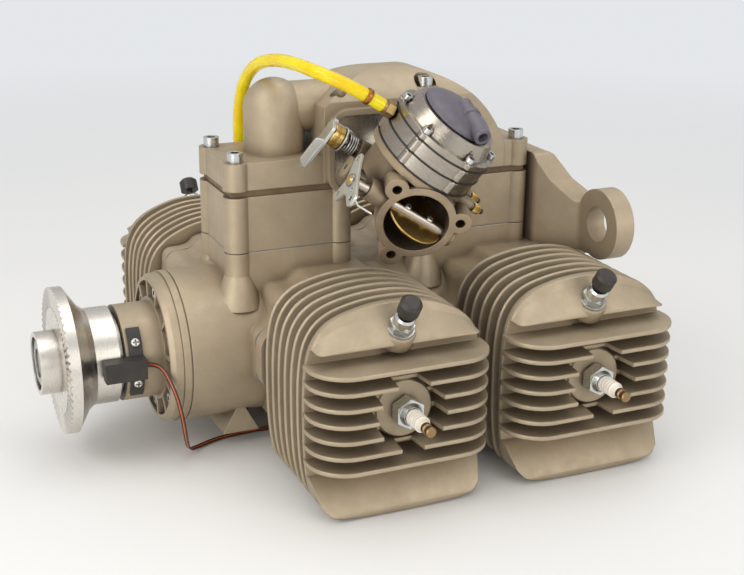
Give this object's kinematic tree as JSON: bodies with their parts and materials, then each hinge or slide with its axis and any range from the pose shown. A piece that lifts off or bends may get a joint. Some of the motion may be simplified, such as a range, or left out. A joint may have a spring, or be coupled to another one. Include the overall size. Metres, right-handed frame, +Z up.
{
  "type": "flat aircraft engine",
  "caption": "Flat air-cooled two-stroke aircraft engine with opposed finned cylinders, serrated propeller hub, side carburettor and rear mounting eyes.",
  "frame": {"origin": "centre of the propeller seat on the crankshaft's axis", "axes": "-Y towards the propeller, +Y to the rear, +Z up, +X to the engine's left bank"},
  "size_m": [0.364, 0.3666, 0.2481],
  "materials": {
    "cast_aluminium": "bead-blasted casting",
    "machined_aluminium": "turned, satin",
    "steel": "ground steel",
    "plated_steel": "zinc-plated",
    "brass": "turned brass",
    "plug_ceramic": "glazed ceramic",
    "black_plastic": "moulded",
    "grey_plastic": "moulded",
    "gasket": "sealing sheet",
    "hose": "clear yellow tube",
    "wire": "insulated wires",
    "sticker_black": "band"
  },
  "bodies": {
    "engine": {"main_bearing_outer_rings": "steel", "shaft_seals": "gasket", "cylinder_screws": "plated_steel", "spark_plug_shells": "plated_steel", "spark_plug_insulators": "plug_ceramic", "decompression_valves": "plated_steel", "crankcase": "cast_aluminium", "front_cover": "cast_aluminium", "rear_cap": "machined_aluminium", "case_screws": "plated_steel", "sensor_strip": "sticker_black", "sensor_block": "black_plastic", "sensor_screws": "plated_steel", "intake_housing_front": "cast_aluminium", "intake_housing_rear": "cast_aluminium", "reed_blocks": "machined_aluminium", "manifold_screws": "plated_steel", "intake_manifold": "cast_aluminium", "gaskets": "gasket", "carb_body": "cast_aluminium", "carb_spacer": "machined_aluminium", "carb_gaskets": "gasket", "carb_pump_plates": "machined_aluminium", "carb_cover": "machined_aluminium", "carb_screws": "plated_steel", "carb_cap": "grey_plastic", "hose_fittings": "brass", "throttle_spring": "steel", "fuel_hose": "hose", "sensor_lead": "wire", "sensor_plug": "black_plastic", "cylinder_front_left": "cast_aluminium", "cylinder_front_right": "cast_aluminium", "cylinder_rear_left": "cast_aluminium", "cylinder_rear_right": "cast_aluminium"},
    "crank": {"prop_hub": "machined_aluminium", "hub_magnets": "steel", "hub_nut_and_key": "steel", "crank_front_shaft": "steel", "crank_centre_webs": "steel", "crank_mid_shaft": "steel", "crank_rear_shaft": "steel", "main_bearing_inner_rings": "steel"},
    "throttle": {"throttle_valve": "plated_steel"},
    "choke": {"choke_valve": "plated_steel"},
    "needle_high": {"mixture_needle_high": "brass"},
    "needle_low": {"mixture_needle_low": "brass"},
    "piston_front_left": {"piston_front_left": "machined_aluminium", "rod_front_left": "steel"},
    "button_front_left": {"decompression_button_front_left": "black_plastic"},
    "piston_front_right": {"piston_front_right": "machined_aluminium", "rod_front_right": "steel"},
    "button_front_right": {"decompression_button_front_right": "black_plastic"},
    "piston_rear_left": {"piston_rear_left": "machined_aluminium", "rod_rear_left": "steel"},
    "button_rear_left": {"decompression_button_rear_left": "black_plastic"},
    "piston_rear_right": {"piston_rear_right": "machined_aluminium", "rod_rear_right": "steel"},
    "button_rear_right": {"decompression_button_rear_right": "black_plastic"}
  },
  "joints": [
    {"name": "crank_spin", "type": "hinge", "parent": "engine", "child": "crank", "pos_m": [0, 0.2, 0], "axis": [0, 1, 0], "continuous": true},
    {"name": "piston_slide_front_left", "type": "slide", "parent": "engine", "child": "piston_front_left", "axis": [1, 0, 0], "range_m": [-0.04, 0]},
    {"name": "piston_slide_front_right", "type": "slide", "parent": "engine", "child": "piston_front_right", "axis": [-1, 0, 0], "range_m": [-0.04, 0]},
    {"name": "piston_slide_rear_left", "type": "slide", "parent": "engine", "child": "piston_rear_left", "axis": [1, 0, 0], "range_m": [0, 0.04]},
    {"name": "piston_slide_rear_right", "type": "slide", "parent": "engine", "child": "piston_rear_right", "axis": [-1, 0, 0], "range_m": [0, 0.04]},
    {"name": "button_press_front_left", "type": "slide", "parent": "engine", "child": "button_front_left", "axis": [-0.5906, 0, -0.807], "range_m": [0, 0.003], "stiffness_N_per_m": 400},
    {"name": "button_press_front_right", "type": "slide", "parent": "engine", "child": "button_front_right", "axis": [0.5906, 0, -0.807], "range_m": [0, 0.003], "stiffness_N_per_m": 400},
    {"name": "button_press_rear_left", "type": "slide", "parent": "engine", "child": "button_rear_left", "axis": [-0.5906, 0, -0.807], "range_m": [0, 0.003], "stiffness_N_per_m": 400},
    {"name": "button_press_rear_right", "type": "slide", "parent": "engine", "child": "button_rear_right", "axis": [0.5906, 0, -0.807], "range_m": [0, 0.003], "stiffness_N_per_m": 400},
    {"name": "throttle_turn", "type": "hinge", "parent": "engine", "child": "throttle", "pos_m": [0.05488, 0.21019, 0.10888], "axis": [-0.1024, -0.8403, 0.5324], "range_deg": [0, 78], "stiffness_Nm_per_rad": 0.05},
    {"name": "choke_turn", "type": "hinge", "parent": "engine", "child": "choke", "pos_m": [0.09368, 0.19713, 0.09574], "axis": [0.1024, 0.8403, -0.5324], "range_deg": [0, 76]},
    {"name": "needle_turn_high", "type": "hinge", "parent": "engine", "child": "needle_high", "pos_m": [0.08631, 0.23529, 0.09821], "axis": [0.1024, 0.8403, -0.5324], "range_deg": [-360, 360]},
    {"name": "needle_turn_low", "type": "hinge", "parent": "engine", "child": "needle_low", "pos_m": [0.07548, 0.23893, 0.10187], "axis": [0.1024, 0.8403, -0.5324], "range_deg": [-360, 360]}
  ],
  "couplings": [
    {"joint": "piston_slide_front_right", "follows": "piston_slide_front_left", "ratio": 1},
    {"joint": "piston_slide_rear_left", "follows": "piston_slide_front_left", "ratio": -1},
    {"joint": "piston_slide_rear_right", "follows": "piston_slide_front_left", "ratio": -1}
  ]
}
